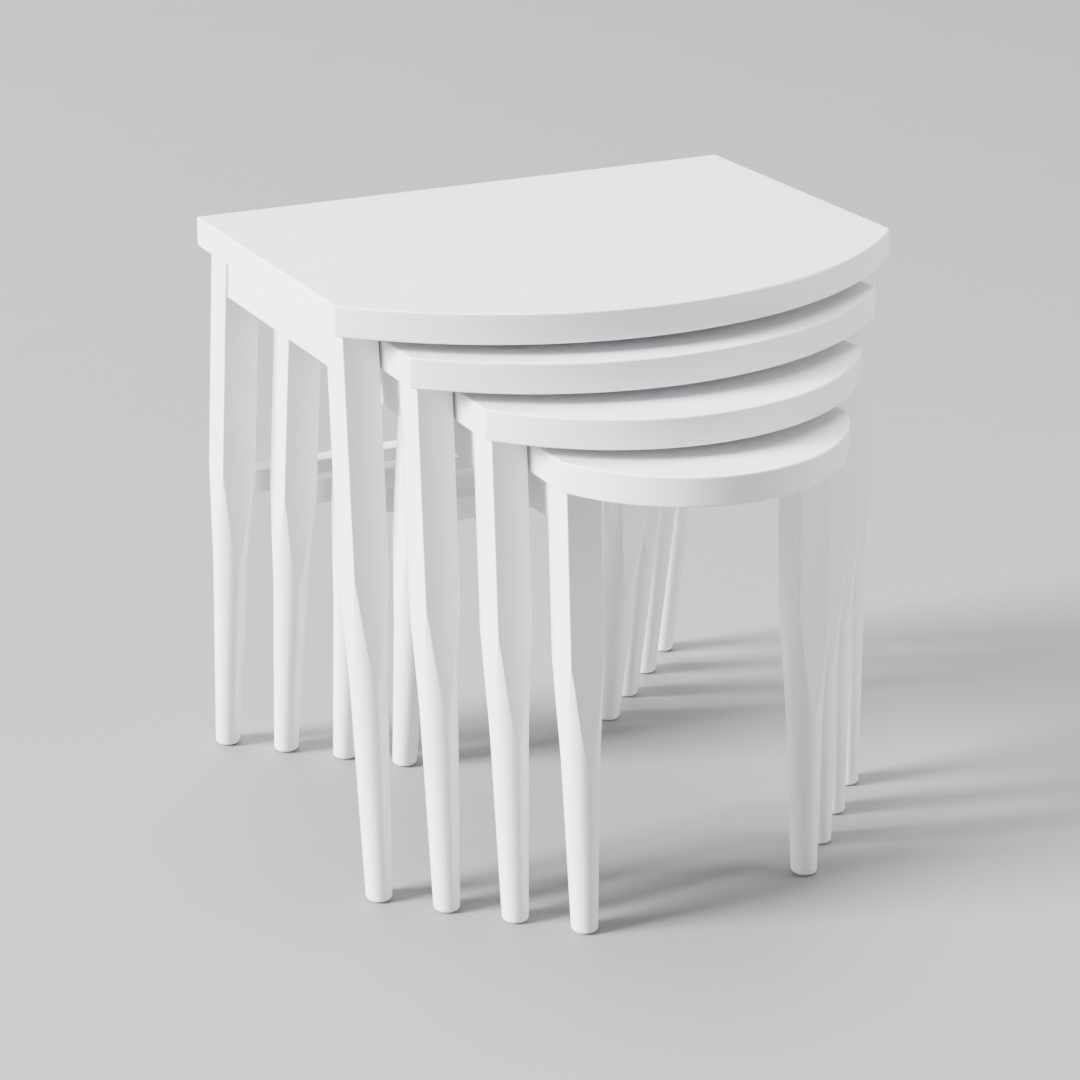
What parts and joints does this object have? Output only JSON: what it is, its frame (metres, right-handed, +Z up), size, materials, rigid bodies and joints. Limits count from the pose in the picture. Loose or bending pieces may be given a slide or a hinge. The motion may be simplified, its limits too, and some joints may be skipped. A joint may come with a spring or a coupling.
{
  "type": "nest of tables",
  "caption": "White lacquered nesting tables with bow-fronted tops, square legs turned round below, side aprons and rear stretchers.",
  "frame": {"origin": "on the floor, at the middle of the box round the whole nest at rest", "axes": "+X to the right along the width of the tables, +Y to the back, where the tops' straight edges are, +Z up"},
  "size_m": [0.58, 0.588, 0.57],
  "materials": {
    "white_lacquer": "smooth satin lacquer",
    "beech_dowel": "plain",
    "steel_screw": "zinc plated",
    "nylon_glide": "plain"
  },
  "bodies": {
    "table_1": {"top_1": "white_lacquer", "front_left_leg_1": "white_lacquer", "front_right_leg_1": "white_lacquer", "rear_left_leg_1": "white_lacquer", "rear_right_leg_1": "white_lacquer", "left_apron_1": "white_lacquer", "right_apron_1": "white_lacquer", "rear_stretcher_1": "white_lacquer", "leg_dowels_1": "beech_dowel", "apron_dowels_1": "beech_dowel", "stretcher_dowels_1": "beech_dowel", "top_screws_1": "steel_screw", "foot_glides_1": "nylon_glide"},
    "table_2": {"top_2": "white_lacquer", "front_left_leg_2": "white_lacquer", "front_right_leg_2": "white_lacquer", "rear_left_leg_2": "white_lacquer", "rear_right_leg_2": "white_lacquer", "left_apron_2": "white_lacquer", "right_apron_2": "white_lacquer", "rear_stretcher_2": "white_lacquer", "leg_dowels_2": "beech_dowel", "apron_dowels_2": "beech_dowel", "stretcher_dowels_2": "beech_dowel", "top_screws_2": "steel_screw", "foot_glides_2": "nylon_glide"},
    "table_3": {"top_3": "white_lacquer", "front_left_leg_3": "white_lacquer", "front_right_leg_3": "white_lacquer", "rear_left_leg_3": "white_lacquer", "rear_right_leg_3": "white_lacquer", "left_apron_3": "white_lacquer", "right_apron_3": "white_lacquer", "rear_stretcher_3": "white_lacquer", "leg_dowels_3": "beech_dowel", "apron_dowels_3": "beech_dowel", "stretcher_dowels_3": "beech_dowel", "top_screws_3": "steel_screw", "foot_glides_3": "nylon_glide"},
    "table_4": {"top_4": "white_lacquer", "front_left_leg_4": "white_lacquer", "front_right_leg_4": "white_lacquer", "rear_left_leg_4": "white_lacquer", "rear_right_leg_4": "white_lacquer", "left_apron_4": "white_lacquer", "right_apron_4": "white_lacquer", "rear_stretcher_4": "white_lacquer", "leg_dowels_4": "beech_dowel", "apron_dowels_4": "beech_dowel", "stretcher_dowels_4": "beech_dowel", "top_screws_4": "steel_screw", "foot_glides_4": "nylon_glide"}
  },
  "joints": [
    {"name": "table_2_slide", "type": "slide", "parent": "table_1", "child": "table_2", "axis": [0, -1, 0], "range_m": [0, 0.45]},
    {"name": "table_3_slide", "type": "slide", "parent": "table_2", "child": "table_3", "axis": [0, -1, 0], "range_m": [0, 0.45]},
    {"name": "table_4_slide", "type": "slide", "parent": "table_3", "child": "table_4", "axis": [0, -1, 0], "range_m": [0, 0.45]}
  ]
}
